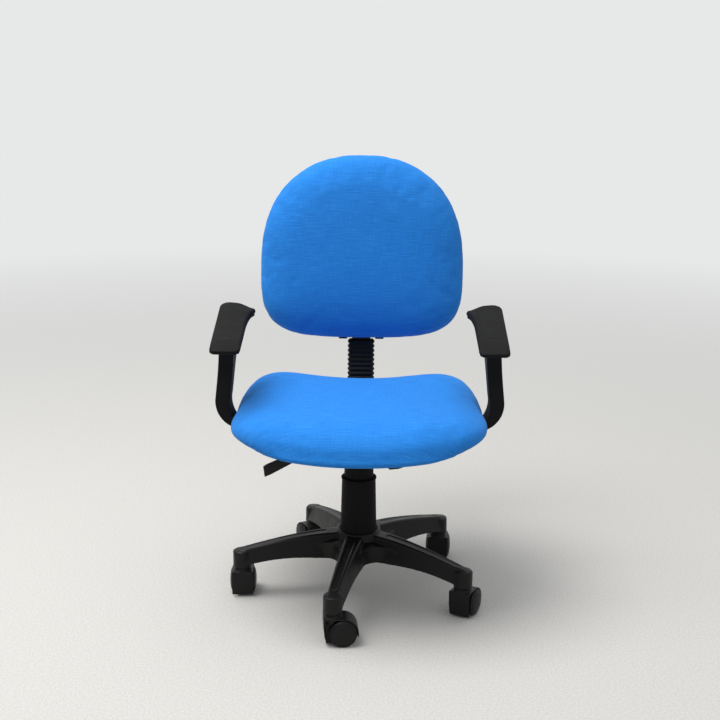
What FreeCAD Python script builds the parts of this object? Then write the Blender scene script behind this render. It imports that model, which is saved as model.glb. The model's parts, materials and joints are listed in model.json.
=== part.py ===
"""Swivel task chair: upholstered seat and back on a gas column, with a five-legged base and twin-wheel casters.

Units are millimetres. The origin is on the floor, on the axis of the gas column. +Z is up, the sitter faces -Y
and +X is on the sitter's left. Every separate piece is written to parts/NAME.step.
"""
import FreeCAD
import Part
import math
import os

from FreeCAD import Vector

# ---------------------------------------------------------------- driving dimensions
# star base
LEG_COUNT = 5
BASE_TURN = 187.1              # direction of the first leg, degrees from +X
STEM_CIRCLE = 225.0            # radius of the circle of caster stems
LEG_END_R = 17.5               # rounded end of a leg, round the caster socket
LEG_WALL = 3.6
HUB_TOP = 132.0
HUB_BOTTOM = 75.0
SOCKET_MOUTH = 60.0            # underside of a leg's end
SOCKET_TOP = 83.0

# casters
WHEEL_R = 25.0
WHEEL_IN = 12.2                # inner and outer faces of a wheel, from the caster's middle plane
WHEEL_OUT = 25.6
CASTER_TRAIL = 18.0            # stem axis to wheel axle
HOOD_HALF = 11.8               # half width of the hood's body, between the wheels
GUARD_HALF = 20.5              # half width of its guard, over the wheels
GUARD_GAP = 1.2
GUARD_WALL = 1.8
AXLE_R = 3.0
STEM_R = 5.5
RUNNING = 0.06                 # radial clearance of a running fit
CASTER_TURNS = (92.5, 5.5, 62.5, 85.5, 120.5)    # trailing direction of each caster, degrees from +X

# column
TUBE_R = 25.0
TUBE_WALL = 2.0
TUBE_TOP = 228.0
TUBE_FLOOR = 78.0
CYLINDER_R = 14.0
CYLINDER_LOW = 96.0
CYLINDER_TOP = 300.0
ROD_R = 5.0
COVER_WALL = 1.3
LOWER_COVER_TOP = 233.0
HEIGHT_TRAVEL = 100.0

# tilt mechanism
PIVOT_Y = -62.0
PIVOT_Z = 300.0
PIVOT_R = 6.0
HOUSING_HALF = 36.0
HOUSING_FLOOR = 284.0
HOUSING_FRONT = -84.0
HOUSING_REAR = 38.0
SHEET = 3.0
PLATE_TOP = 331.0              # top of the seat plate, underside of the seat's under cover
PLATE_HALF = 75.0
BOLT_R = 3.0
BOLT_HOLE_R = 3.3

# seat
SEAT_HALF = 240.0
SEAT_FRONT = 220.0             # from the widest point to the front edge
SEAT_BACK = 210.0
SEAT_MIDDLE_Y = -5.0
SEAT_LOW = 335.0
SEAT_HIGH = 392.0
SEAT_BOARD = 11.0

# arms
ARM_OUT = 275.5                # outer face of the post at its foot
ARM_IN_LEAN = 0.11             # inward lean of the post, per unit of height
ARM_THICK = 28.0
ARM_TAB_LOW = 323.0
ARM_Y = 42.0                   # middle of the foot
PAD_SLOPE = 11.5               # degrees, front end down
PAD_LENGTH = 218.0
PAD_MIDDLE = (243.0, 12.0, 525.0)

# back
BACK_LEAN = 6.0
BACK_FOOT = (0.0, 228.0, 457.0)
BACK_HALF = 206.0
BACK_WIDEST = 125.0            # height of the widest point above the back's lower edge
BACK_HEIGHT = 372.0
BACK_THICK = 52.0
BACK_TRAVEL = 60.0
BAR_HALF = 19.0
BAR_THICK = 6.0
BAR_MIDDLE = 15.5              # bar's middle behind the back's board plane
BAR_LOW = 322.0                # underside of the bar where it runs under the seat
BELLOWS_PITCH = 9.5
BELLOWS_FOLDS = 11


# ---------------------------------------------------------------- helpers
def box(x0, x1, y0, y1, z0, z1):
    return Part.makeBox(x1 - x0, y1 - y0, z1 - z0, Vector(x0, y0, z0))


def cylinder(radius, z0, z1, x=0.0, y=0.0):
    return Part.makeCylinder(radius, z1 - z0, Vector(x, y, z0), Vector(0, 0, 1))


def cylinder_x(radius, x0, x1, y, z):
    return Part.makeCylinder(radius, x1 - x0, Vector(x0, y, z), Vector(1, 0, 0))


def cylinder_y(radius, y0, y1, x, z):
    return Part.makeCylinder(radius, y1 - y0, Vector(x, y0, z), Vector(0, 1, 0))


def turned(profile):
    """A solid turned about Z from (radius, height) points."""
    points = [Vector(r, 0, z) for r, z in profile]
    face = Part.Face(Part.makePolygon(points + points[:1]))
    return face.revolve(Vector(0, 0, 0), Vector(0, 0, 1), 360)


def prism(points, direction):
    """A solid swept straight along direction from a closed outline of points."""
    vectors = [Vector(*p) for p in points]
    return Part.Face(Part.makePolygon(vectors + vectors[:1])).extrude(Vector(*direction))


def moved(shape, x=0.0, y=0.0, z=0.0):
    copy = shape.copy()
    copy.translate(Vector(x, y, z))
    return copy


def spun(shape, degrees, centre=(0, 0, 0), axis=(0, 0, 1)):
    copy = shape.copy()
    copy.rotate(Vector(*centre), Vector(*axis), degrees)
    return copy


def fused(shapes):
    whole = shapes[0].multiFuse(shapes[1:])
    return whole.removeSplitter()


def softened(shape, radius, wanted):
    """Rounds the edges for which wanted(edge) is true."""
    edges = [e for e in shape.Edges if wanted(e)]
    return shape.makeFillet(radius, edges)


def superellipse(half, low, high, power_low, power_high, count=32):
    """Closed outline: half wide, low units below its widest line and high units above it."""
    points = []
    for i in range(count):
        angle = 2 * math.pi * i / count
        c, s = math.cos(angle), math.sin(angle)
        reach, power = (high, power_high) if s >= 0 else (low, power_low)
        u = half * math.copysign(abs(c) ** (2 / power), c)
        v = reach * math.copysign(abs(s) ** (2 / power), s)
        points.append((u, v))
    return points


def closed_curve(vectors):
    curve = Part.BSplineCurve()
    curve.interpolate(vectors, PeriodicFlag=True)
    return Part.Wire(curve.toShape())


def rounded_path(points, radius):
    """An open wire of straight runs joined by tangent arcs of one radius."""
    vectors = [Vector(*p) for p in points]
    edges = []
    start = vectors[0]
    for before, corner, after in zip(vectors, vectors[1:], vectors[2:]):
        a = (before - corner).normalize()
        b = (after - corner).normalize()
        half = a.getAngle(b) / 2
        reach = radius / math.tan(half)
        middle = (a + b).normalize()
        first, last = corner + a * reach, corner + b * reach
        top = corner + middle * (radius / math.sin(half) - radius)
        edges.append(Part.LineSegment(start, first).toShape())
        edges.append(Part.Arc(first, top, last).toShape())
        start = last
    edges.append(Part.LineSegment(start, vectors[-1]).toShape())
    return Part.Wire(edges)


def rounded_outline(corners, z=0.0):
    """A closed flat wire through (x, y, radius) corners, each rounded by its own arc."""
    ends = []
    edges = []
    count = len(corners)
    for i in range(count):
        before, corner, after = (Vector(corners[(i + k) % count][0], corners[(i + k) % count][1], z) for k in (-1, 0, 1))
        radius = corners[i][2]
        a = (before - corner).normalize()
        b = (after - corner).normalize()
        half = a.getAngle(b) / 2
        reach = radius / math.tan(half)
        middle = (a + b).normalize()
        top = corner + middle * (radius / math.sin(half) - radius)
        first, last = corner + a * reach, corner + b * reach
        ends.append((first, last))
        edges.append(Part.Arc(first, top, last).toShape())
    for i in range(count):
        edges.append(Part.LineSegment(ends[i][1], ends[(i + 1) % count][0]).toShape())
    return Part.Wire(Part.__sortEdges__(edges))


def swept(profile, path):
    return path.makePipeShell([profile], True, False)


PARTS = {}


def keep(name, shape):
    """Records a piece under its name; a group of loose solids becomes one compound."""
    solids = [s for s in shape.Solids]
    PARTS[name] = solids[0] if len(solids) == 1 else Part.makeCompound(solids)


# ---------------------------------------------------------------- star base
def leg_top(r):
    """Height of a leg's top at radius r: falls slowly at first, then faster."""
    share = max(0.0, (r - 44.0) / 196.0)
    return 128.0 - 35.0 * share ** 1.5


LEG_STATIONS = (
    # radius, half width at the bottom, half width at the top, underside height
    (26.0, 27.0, 18.0, 80.0),
    (90.0, 23.5, 14.5, 80.0),
    (150.0, 20.5, 12.0, 79.0),
    (200.0, 18.2, 10.3, 71.0),
    (246.0, 17.0, 9.6, 60.5),
)


def leg_section(r, low_half, top_half, z_low, z_top, shoulder):
    """Closed section across a leg: leaning sides and rounded shoulders."""
    side = Vector(r, top_half, z_top) - Vector(r, low_half, z_low)
    up = side.normalize()
    wires = []
    corner_up = Vector(r, top_half, z_top)
    first = corner_up - up * shoulder
    last = corner_up - Vector(0, shoulder, 0)
    middle = corner_up - up * shoulder * 0.26 - Vector(0, shoulder * 0.26, 0)

    def across(v):
        return Vector(v.x, -v.y, v.z)

    low = Vector(r, low_half, z_low)
    wires.append(Part.LineSegment(low, first).toShape())
    wires.append(Part.Arc(first, middle, last).toShape())
    wires.append(Part.LineSegment(last, across(last)).toShape())
    wires.append(Part.Arc(across(last), across(middle), across(first)).toShape())
    wires.append(Part.LineSegment(across(first), across(low)).toShape())
    wires.append(Part.LineSegment(across(low), low).toShape())
    return Part.Wire(wires)


def leg_outer():
    """One leg along +X, before its hollow and its socket."""
    sections = [leg_section(r, w, t, z, leg_top(r), 5.0) for r, w, t, z in LEG_STATIONS]
    arm = Part.makeLoft(sections, True, False)
    # the plan outline rounds the end about the stem
    end = Part.makeCylinder(LEG_END_R + 0.5, 120, Vector(STEM_CIRCLE, 0, 40), Vector(0, 0, 1))
    plan = fused([box(20, STEM_CIRCLE, -40, 40, 40, 160), end])
    arm = arm.common(plan)
    top = leg_top(STEM_CIRCLE) - 3.0
    boss = cylinder(LEG_END_R, SOCKET_MOUTH, top, STEM_CIRCLE)
    boss = softened(boss, 5.0, lambda e: e.BoundBox.ZMin > top - 0.1)
    return fused([arm, boss])


def leg_hollow():
    """Four open-bottomed cells under the leg, with cross ribs left between them."""
    sections = []
    for r, w, t, z in LEG_STATIONS:
        roof = leg_top(r) - LEG_WALL - 0.6
        wire = leg_section(r, w - LEG_WALL + 0.4, t - LEG_WALL + 1.6, z - 3.0, roof, 2.5)
        sections.append(wire)
    inside = Part.makeLoft(sections, True, False)
    rib = 3.0
    stops = (62.0, 98.0, 134.0, 170.0, STEM_CIRCLE - LEG_END_R - 2.0)
    cells = []
    for near, far in zip(stops, stops[1:]):
        cells.append(inside.common(box(near, far - rib, -40, 40, 40, 160)))
    return cells


def top_trough():
    """Shallow trough along the top of a leg, with a rounded end short of the socket."""
    near, far = 62.0, STEM_CIRCLE - 14.0
    half = 6.6
    plan = fused([box(near, far, -half, half, 60, 160), cylinder(half, 60, 160, far)])
    sections = []
    for r, w, t, z in LEG_STATIONS:
        sections.append(leg_section(r, w + 5, t + 6, leg_top(r) - 1.3, leg_top(r) + 8, 1.0))
    return Part.makeLoft(sections, True, False).common(plan)


def star_base():
    leg = leg_outer()
    hub = turned([(0, HUB_BOTTOM), (37, HUB_BOTTOM), (43, 84), (48, 104), (47, 118), (42.5, HUB_TOP - 1.5),
                  (41, HUB_TOP), (0, HUB_TOP)])
    pieces = [hub]
    turns = [BASE_TURN + 360.0 / LEG_COUNT * i for i in range(LEG_COUNT)]
    for turn in turns:
        pieces.append(spun(leg, turn))
    # webs with concave edges join neighbouring legs
    half_gap = math.radians(180.0 / LEG_COUNT)
    near_leg = Vector(92.0, 19.5, 0)
    reach = math.hypot(near_leg.x, near_leg.y)
    lean = math.atan2(near_leg.y, near_leg.x)
    hollow = Vector(63.0 * math.cos(half_gap), 63.0 * math.sin(half_gap), 0)
    far_leg = Vector(reach * math.cos(2 * half_gap - lean), reach * math.sin(2 * half_gap - lean), 0)
    edge = Part.Arc(near_leg, hollow, far_leg).toShape()
    sides = [Part.LineSegment(far_leg, Vector(0, 0, 0)).toShape(), Part.LineSegment(Vector(0, 0, 0), near_leg).toShape()]
    web = Part.Face(Part.Wire([edge] + sides)).extrude(Vector(0, 0, 36))
    web.translate(Vector(0, 0, 81))
    roof = turned([(0, 60), (110, 60), (110, 101), (48, 118), (0, 118)])
    web = web.common(roof)
    for turn in turns:
        pieces.append(spun(web, turn))
    whole = fused(pieces)
    cuts = []
    for turn in turns:
        for cell in leg_hollow():
            cuts.append(spun(cell, turn))
        cuts.append(spun(top_trough(), turn))
        cuts.append(spun(cylinder(STEM_R + RUNNING, SOCKET_MOUTH - 1, SOCKET_TOP, STEM_CIRCLE), turn))
    bore = turned([(0, HUB_BOTTOM - 1), (24.2, HUB_BOTTOM - 1), (24.2, TUBE_FLOOR), (TUBE_R, HUB_TOP + 1),
                   (0, HUB_TOP + 1)])
    cuts.append(bore)
    cuts.append(turned([(33.0, 126), (36.6, 126), (36.6, HUB_TOP + 1), (33.0, HUB_TOP + 1)]))
    keep("star_base", whole.cut(cuts))


# ---------------------------------------------------------------- casters
def caster_frame(shape, index):
    """Moves a shape from the caster's own frame (stem on Z, trailing along +X) to its leg."""
    turn = BASE_TURN + 360.0 / LEG_COUNT * index
    x = STEM_CIRCLE * math.cos(math.radians(turn))
    y = STEM_CIRCLE * math.sin(math.radians(turn))
    return moved(spun(shape, CASTER_TURNS[index]), x, y)


def hood_outline(inset, low, half):
    """Side view of the hood: straight front, arched top, open towards the floor and the rear."""
    t, z, r = CASTER_TRAIL, WHEEL_R, WHEEL_R + GUARD_GAP + GUARD_WALL - inset
    front = -LEG_END_R + 0.5 + inset
    brow = Vector(front, -half, z + 17)
    toe = Vector(-11.0 + inset, -half, low)
    lip = math.radians(-12 - 2 * inset)
    start = Vector(t + r * math.cos(lip), -half, z + r * math.sin(lip))
    over = Vector(t + r * math.cos(math.radians(40)), -half, z + r * math.sin(math.radians(40)))
    crown = Vector(t + r * math.cos(math.radians(82)), -half, z + r * math.sin(math.radians(82)))
    shoulder = Vector(front, -half, crown.z + 0.6)
    edges = [
        Part.Arc(start, over, crown).toShape(),
        Part.LineSegment(crown, shoulder).toShape(),
        Part.LineSegment(shoulder, brow).toShape(),
        Part.Arc(brow, Vector((front + toe.x) / 2 - 1.6, -half, (brow.z + toe.z) / 2 - 1.0), toe).toShape(),
        Part.LineSegment(toe, Vector(toe.x + 6, -half, low)).toShape(),
        Part.LineSegment(Vector(toe.x + 6, -half, low), start).toShape(),
    ]
    return Part.Face(Part.Wire(edges)).extrude(Vector(0, 2 * half, 0))


def caster_hood():
    wall = GUARD_WALL
    guard = hood_outline(0.0, 4.0, GUARD_HALF)
    guard = guard.cut(hood_outline(wall, 1.0, GUARD_HALF + 1))
    body = hood_outline(0.6, 4.0, HOOD_HALF)
    neck = cylinder(LEG_END_R - 0.8, 42, SOCKET_MOUTH - 0.6)
    tyre_room = cylinder_y(WHEEL_R + GUARD_GAP, HOOD_HALF, 30, CASTER_TRAIL, WHEEL_R)
    tyre_room = fused([tyre_room, spun(tyre_room, 180, centre=(CASTER_TRAIL, 0, 0))])
    neck = neck.cut(tyre_room)
    inside = hood_outline(wall + 0.6, 1.0, HOOD_HALF - 2.4)
    below = prism([(-2, -9.4, -2), (60, -9.4, -2), (60, -9.4, 22), (CASTER_TRAIL + 4, -9.4, 22), (-2, -9.4, 6)],
                  (0, 18.8, 0))
    body = body.cut(inside).cut(below)
    stem_boss = cylinder(8.2, 26, SOCKET_MOUTH - 0.6)
    axle_boss = cylinder_y(6.0, -HOOD_HALF, HOOD_HALF, CASTER_TRAIL, WHEEL_R)
    web = prism([(-14, -2, 47), (CASTER_TRAIL + 10, -2, 47), (CASTER_TRAIL + 5, -2, 22), (CASTER_TRAIL - 5, -2, 20),
                 (-8, -2, 30)], (0, 4, 0))
    whole = fused([guard, body, neck, stem_boss, axle_boss, web])
    return whole.cut([cylinder(STEM_R, 30, 70), cylinder_y(AXLE_R, -20, 20, CASTER_TRAIL, WHEEL_R)])


def caster_stem():
    """Steel stem with a grip ring in a groove near its top."""
    pin = cylinder(STEM_R, 30.0, 81.0)
    pin = softened(pin, 1.5, lambda e: e.BoundBox.ZMin > 80.9)
    groove = cylinder(STEM_R + 1, 72.0, 74.4).cut(cylinder(STEM_R - 1.0, 71.0, 75.0))
    ring = cylinder(STEM_R - 0.05, 72.2, 74.2).cut(cylinder(STEM_R - 1.0, 71.0, 75.0))
    slit = box(0, 10, -1.0, 1.0, 71, 75)
    return Part.makeCompound([pin.cut(groove), ring.cut(slit)])


def caster_wheel():
    """Cup-shaped wheel on the +Y side: domed cap outside, hollow towards the hood."""
    out, wide = WHEEL_OUT, WHEEL_OUT - WHEEL_IN
    profile = [
        (AXLE_R + RUNNING, 0), (8.0, 0), (8.0, 6.0), (20.2, 6.0), (21.4, 0), (WHEEL_R - 0.9, 0), (WHEEL_R, 0.9),
        (WHEEL_R, wide - 6.4), (WHEEL_R - 0.4, wide - 5.1), (WHEEL_R - 1.4, wide - 4.0), (22.6, wide - 3.5),
        (22.2, wide - 3.9), (21.7, wide - 3.9), (21.4, wide - 3.1), (18.0, wide - 1.7), (12.0, wide - 0.7),
        (6.0, wide - 0.15), (0, wide), (0, wide - 3.0), (AXLE_R + RUNNING, wide - 3.0),
    ]
    wheel = spun(turned(profile), -90, axis=(1, 0, 0))
    return moved(wheel, CASTER_TRAIL, out - wide, WHEEL_R)


def casters():
    hood, stem, wheel = caster_hood(), caster_stem(), caster_wheel()
    axle = cylinder_y(AXLE_R, -WHEEL_OUT + 3.4, WHEEL_OUT - 3.4, CASTER_TRAIL, WHEEL_R)
    other = spun(wheel, 180, centre=(CASTER_TRAIL, 0, WHEEL_R), axis=(0, 0, 1))
    for i in range(LEG_COUNT):
        name = f"caster_{i + 1}"
        keep(f"{name}_hood", caster_frame(hood, i))
        keep(f"{name}_stem", caster_frame(stem, i))
        keep(f"{name}_axle", caster_frame(axle, i))
        keep(f"{name}_wheel_left", caster_frame(wheel, i))
        keep(f"{name}_wheel_right", caster_frame(other, i))


# ---------------------------------------------------------------- column
def column():
    inner = TUBE_R - TUBE_WALL
    keep("column_tube", turned([
        (ROD_R + 0.3, TUBE_FLOOR), (24.2, TUBE_FLOOR), (TUBE_R, HUB_TOP + 1), (TUBE_R, TUBE_TOP), (inner, TUBE_TOP),
        (inner, TUBE_FLOOR + 4), (ROD_R + 0.3, TUBE_FLOOR + 4)]))
    keep("guide_bush", turned([
        (CYLINDER_R + RUNNING, 150), (inner, 150), (inner, TUBE_TOP), (TUBE_R, TUBE_TOP), (TUBE_R, TUBE_TOP + 2.5),
        (CYLINDER_R + RUNNING, TUBE_TOP + 2.5)]))
    bottom = TUBE_FLOOR + 4
    lower = turned([(ROD_R + 0.3, bottom), (10, bottom), (10, bottom + 2), (ROD_R + 0.3, bottom + 2)])
    upper = turned([(ROD_R, bottom + 5.2), (10, bottom + 5.2), (10, bottom + 7.2), (ROD_R, bottom + 7.2)])
    ball_r, circle = 1.5, 7.8
    balls = []
    for i in range(9):
        angle = 2 * math.pi * i / 9
        centre = Vector(circle * math.cos(angle), circle * math.sin(angle), bottom + 3.9)
        balls.append(Part.makeSphere(ball_r, centre))
    keep("thrust_bearing_race", lower)
    keep("thrust_bearing_balls", fused([upper] + balls))
    keep("rubber_buffer", turned([
        (ROD_R, bottom + 7.2), (9.5, bottom + 7.2), (8.4, bottom + 9.6), (9.3, bottom + 12.2), (ROD_R, bottom + 12.2)]))
    keep("piston_rod", fused([
        turned([(0, 73.5), (4.2, 73.5), (ROD_R, 74.3), (ROD_R, 76.2), (4.0, 76.2), (4.0, 77.5), (ROD_R, 77.5),
                (ROD_R, 264), (0, 264)]),
        turned([(0, 262), (11.6, 262), (11.6, 265), (10.9, 265), (10.9, 267), (11.6, 267), (11.6, 270), (0, 270)])]))
    clip = turned([(4.0, 76.2), (8.5, 76.2), (8.5, 77.5), (4.0, 77.5)]).cut(box(0, 12, -3, 3, 74, 79))
    keep("retaining_clip", clip)
    keep("gas_cylinder", turned([
        (ROD_R + RUNNING, CYLINDER_LOW), (CYLINDER_R - 0.8, CYLINDER_LOW), (CYLINDER_R, CYLINDER_LOW + 0.8),
        (CYLINDER_R, 268), (13.3, CYLINDER_TOP), (4.1, CYLINDER_TOP), (4.1, 284), (12.0, 280), (12.0, 104),
        (ROD_R + RUNNING, 104)]))
    keep("release_button", turned([(0, 286.5), (4.0, 286.5), (4.0, 304.2), (3.2, 305.0), (0, 305.0)]))


def covers():
    """Three nested sleeves; each one's top carries a rolled bead."""
    w = COVER_WALL
    keep("lower_cover", turned([
        (36.4, 126.0), (36.4, 131.5), (34.7, 134.5), (34.4, 150), (32.4, LOWER_COVER_TOP - 3),
        (32.2, LOWER_COVER_TOP), (32.2 - w, LOWER_COVER_TOP), (32.4 - w, 200), (34.4 - w, 150), (33.2, 126.0)]))
    top = LOWER_COVER_TOP
    keep("middle_cover", turned([
        (30.4, 134), (30.4, top + 0.4), (33.2, top + 0.4), (33.8, top + 1.2), (33.8, top + 3.0), (33.0, top + 3.8),
        (30.4, top + 3.8), (30.4 - w, top + 2.6), (30.4 - w, 134)]))
    keep("upper_cover", turned([
        (28.4, 138), (27.9, 262), (27.4, 271.5), (19.5, 271.5), (19.5, 270), (26.4, 270), (28.4 - w, 138)]))


# ---------------------------------------------------------------- tilt mechanism
def housing():
    """Pressed steel channel with the tapered socket for the gas cylinder."""
    h = HOUSING_HALF
    side = [(HOUSING_FRONT, HOUSING_FLOOR), (HOUSING_REAR, HOUSING_FLOOR), (HOUSING_REAR, 290), (-46, 316),
            (HOUSING_FRONT + 6, 316), (HOUSING_FRONT, 308)]
    outer = prism([(-h, y, z) for y, z in side], (2 * h, 0, 0))
    inner = box(-h + SHEET, h - SHEET, HOUSING_FRONT + SHEET, HOUSING_REAR - SHEET, HOUSING_FLOOR + SHEET, 340)
    socket = cylinder(19.5, 264, CYLINDER_TOP - 1.5)
    whole = fused([outer.cut(inner), socket])
    bore = turned([(0, 260), (CYLINDER_R, 260), (CYLINDER_R, 268), (13.3, CYLINDER_TOP), (13.3, 304), (0, 304)])
    pin = cylinder_x(PIVOT_R, -60, 60, PIVOT_Y, PIVOT_Z)
    lever_slot = cylinder_x(4.0, -h - 1, -h + SHEET + 1, 0, LEVER_Z)
    notch = box(-h - 1, -h + SHEET + 1, -4.0, 4.0, LEVER_Z, 330)
    keep("tilt_housing", whole.cut([bore, pin, lever_slot, notch]))
    pivot = fused([
        cylinder_x(PIVOT_R, -50, 50, PIVOT_Y, PIVOT_Z), cylinder_x(9.0, -52.5, -50, PIVOT_Y, PIVOT_Z),
        cylinder_x(5.0, 50, 76, PIVOT_Y, PIVOT_Z)])
    keep("tilt_pivot_pin", pivot)
    stop = box(-15, 15, 24, 35, HOUSING_FLOOR + SHEET, 301.4)
    keep("bump_stop", softened(stop, 2.0, lambda e: e.BoundBox.ZMin > 301.3))


def torsion_spring():
    """Coil round the pivot pin."""
    mean, wire, turns, pitch = 9.6, 1.7, 8, 4.6
    helix = Part.makeHelix(pitch, pitch * turns, mean)
    section = Part.Wire(Part.makeCircle(wire, Vector(mean, 0, 0), Vector(0, 1, 0)))
    coil = helix.makePipeShell([section], True, True)
    coil = spun(coil, 90, axis=(0, 1, 0))
    keep("torsion_spring", moved(coil, -pitch * turns / 2, PIVOT_Y, PIVOT_Z))


def tension_knob():
    """Hand knob on the pivot's end: ribbed skirt, tapering outwards."""
    profile = [(5.0 + RUNNING, 53), (20, 53), (25.5, 56), (26, 60), (24.5, 74), (22, 82), (17, 85), (0, 85),
               (0, 77), (5.0 + RUNNING, 77)]
    body = spun(turned(profile), 90, axis=(0, 1, 0))
    flutes = []
    for i in range(14):
        flute = cylinder_x(2.2, 50, 79, 0, 27.2)
        flutes.append(spun(flute, 360.0 / 14 * i, axis=(1, 0, 0)))
    body = body.cut(flutes)
    keep("tension_knob", moved(body, 0, PIVOT_Y, PIVOT_Z))


LEVER_Z = 309.0
LEVER_PATH = ((10.0, 0.0, LEVER_Z), (-47.0, 0.0, LEVER_Z), (-95.0, -28.0, 298.0), (-170.0, -40.0, 262.5))


def lever():
    """Bent steel rod that presses the release button, with a moulded paddle on its outer end."""
    path = rounded_path(LEVER_PATH, 14.0)
    rod_r = 3.6
    section = Part.Wire(Part.makeCircle(rod_r, Vector(*LEVER_PATH[0]), Vector(1, 0, 0)))
    rod = swept(section, path)
    start, end = Vector(*LEVER_PATH[2]), Vector(*LEVER_PATH[3])
    along = (end - start).normalize()
    # paddle in its own frame: length along +X, tall along Z
    outline = [(0, -6.4), (8, -8.4), (64, -10.4), (77, -9.6), (71, 9.0), (64, 10.2), (8, 8.0), (0, 6.2)]
    blade = prism([(x, -4.6, z) for x, z in outline], (0, 9.2, 0))
    blade = softened(blade, 2.2, lambda e: e.BoundBox.YLength < 0.01)
    hole = Part.makeCylinder(rod_r, 70, Vector(-1, 0, 0), Vector(1, 0, 0))
    yaw = math.degrees(math.atan2(along.y, along.x))
    pitch = math.degrees(math.asin(-along.z))
    near = start + along * 20.0

    def placed(shape):
        shape = spun(shape, pitch, axis=(0, 1, 0))
        shape = spun(shape, yaw)
        return moved(shape, near.x, near.y, near.z)

    length = (end - near).Length
    hole = Part.makeCylinder(rod_r, length + 1, Vector(-1, 0, 0), Vector(1, 0, 0))
    keep("lever_rod", rod)
    keep("lever_paddle", placed(blade.cut(hole)))


def seat_plate():
    """Upper plate of the mechanism: bolted under the seat, hung on the pivot pin by two ears."""
    top = box(-PLATE_HALF, PLATE_HALF, -100, 112, PLATE_TOP - SHEET, PLATE_TOP)
    top = softened(top, 16, lambda e: e.BoundBox.ZLength > SHEET - 0.1 and e.BoundBox.XLength < 0.1)
    ears = []
    for x in (-44, 41):
        ear = prism([(x, -86, PLATE_TOP - SHEET), (x, -38, PLATE_TOP - SHEET), (x, -46, 294), (x, -56, 288),
                     (x, -68, 288), (x, -78, 294)], (SHEET, 0, 0))
        ears.append(ear)
    hole = cylinder_x(PIVOT_R + RUNNING, -60, 60, PIVOT_Y, PIVOT_Z)
    plate = fused([top] + ears).cut(hole)
    return plate


# ---------------------------------------------------------------- seat
def seat_outline(inset, z):
    points = superellipse(SEAT_HALF - inset, SEAT_FRONT - inset, SEAT_BACK - inset, 2.5, 3.6)
    return closed_curve([Vector(u, v + SEAT_MIDDLE_Y, z) for u, v in points])


def seat_slab(inset, low, high):
    return Part.Face(seat_outline(inset, low)).extrude(Vector(0, 0, high - low))


def bolt(x, y, head_low, tip):
    head = cylinder(5.2, head_low, head_low + 4.0, x, y)
    socket = cylinder(2.4, head_low - 1, head_low + 2.4, x, y)
    return fused([head, cylinder(BOLT_R, head_low + 4.0, tip, x, y)]).cut(socket)


ARM_BOLT_X = (160.0, 194.0, 194.0)
ARM_BOLT_Y = (42.0, 26.0, 58.0)
PLATE_BOLTS = ((-58.0, -90.0), (58.0, -90.0), (-58.0, 84.0), (58.0, 84.0))
BAR_BOLTS = ((0.0, 48.0), (0.0, 92.0))


def seat():
    tip = SEAT_LOW + SEAT_BOARD - 2
    places = []
    for side in (-1, 1):
        for x, y in zip(ARM_BOLT_X, ARM_BOLT_Y):
            places.append((side * x, y, ARM_TAB_LOW - 4.0))
    for x, y in PLATE_BOLTS:
        places.append((x, y, PLATE_TOP - SHEET - 4.0))
    for x, y in BAR_BOLTS:
        places.append((x, y, BAR_LOW - 4.0))
    holes = [cylinder(BOLT_HOLE_R, 300, tip + 0.5, x, y) for x, y, _ in places]
    keep("seat_bolts", Part.makeCompound([bolt(x, y, low, tip) for x, y, low in places]))
    board = seat_slab(26, SEAT_LOW, SEAT_LOW + SEAT_BOARD)
    keep("seat_board", board.cut(holes))
    cushion = seat_slab(0, SEAT_LOW, SEAT_HIGH)
    cushion = softened(cushion, 21, lambda e: e.BoundBox.ZMin > SEAT_HIGH - 0.1)
    cushion = softened(cushion, 15, lambda e: e.BoundBox.ZMax < SEAT_LOW + 0.1)
    keep("seat_cushion", cushion.cut(seat_slab(26, SEAT_LOW - 1, SEAT_LOW + SEAT_BOARD)))
    tray = seat_slab(20, PLATE_TOP, SEAT_LOW)
    tray = softened(tray, 3.0, lambda e: e.BoundBox.ZMax < PLATE_TOP + 0.1)
    keep("seat_under_cover", tray.cut(holes))
    keep("seat_plate", seat_plate().cut(holes))
    return holes


# ---------------------------------------------------------------- arms
def arm_front_outline(inset_out, inset_in, y):
    """Front view of the left arm: tab under the seat, bend, leaning post up to the pad."""
    thick = ARM_THICK - inset_out - inset_in
    high = 560.0
    low = ARM_TAB_LOW
    out_x = ARM_OUT - inset_out
    knee = 384.0
    top_x = out_x - ARM_IN_LEAN * (high - knee)
    foot = Vector(out_x - 46, y, low + inset_out)
    edges = [
        Part.LineSegment(Vector(150, y, low + inset_out), foot).toShape(),
        Part.Arc(foot, Vector(out_x - 15, y, low + inset_out + 16), Vector(out_x, y, knee)).toShape(),
        Part.LineSegment(Vector(out_x, y, knee), Vector(top_x, y, high)).toShape(),
        Part.LineSegment(Vector(top_x, y, high), Vector(top_x - thick, y, high)).toShape(),
        Part.LineSegment(Vector(top_x - thick, y, high), Vector(out_x - thick, y, knee)).toShape(),
        Part.Arc(Vector(out_x - thick, y, knee), Vector(out_x - thick - 2.6, y, low + 28),
                 Vector(out_x - 44, y, PLATE_TOP - inset_in)).toShape(),
        Part.LineSegment(Vector(out_x - 44, y, PLATE_TOP - inset_in), Vector(150, y, PLATE_TOP - inset_in)).toShape(),
        Part.LineSegment(Vector(150, y, PLATE_TOP - inset_in), Vector(150, y, low + inset_out)).toShape(),
    ]
    return Part.Face(Part.Wire(edges))


def pad_underside(y):
    """Height of the pad's underside line at y."""
    return PAD_MIDDLE[2] - 9.0 + (y - PAD_MIDDLE[1]) * math.tan(math.radians(PAD_SLOPE))


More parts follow.
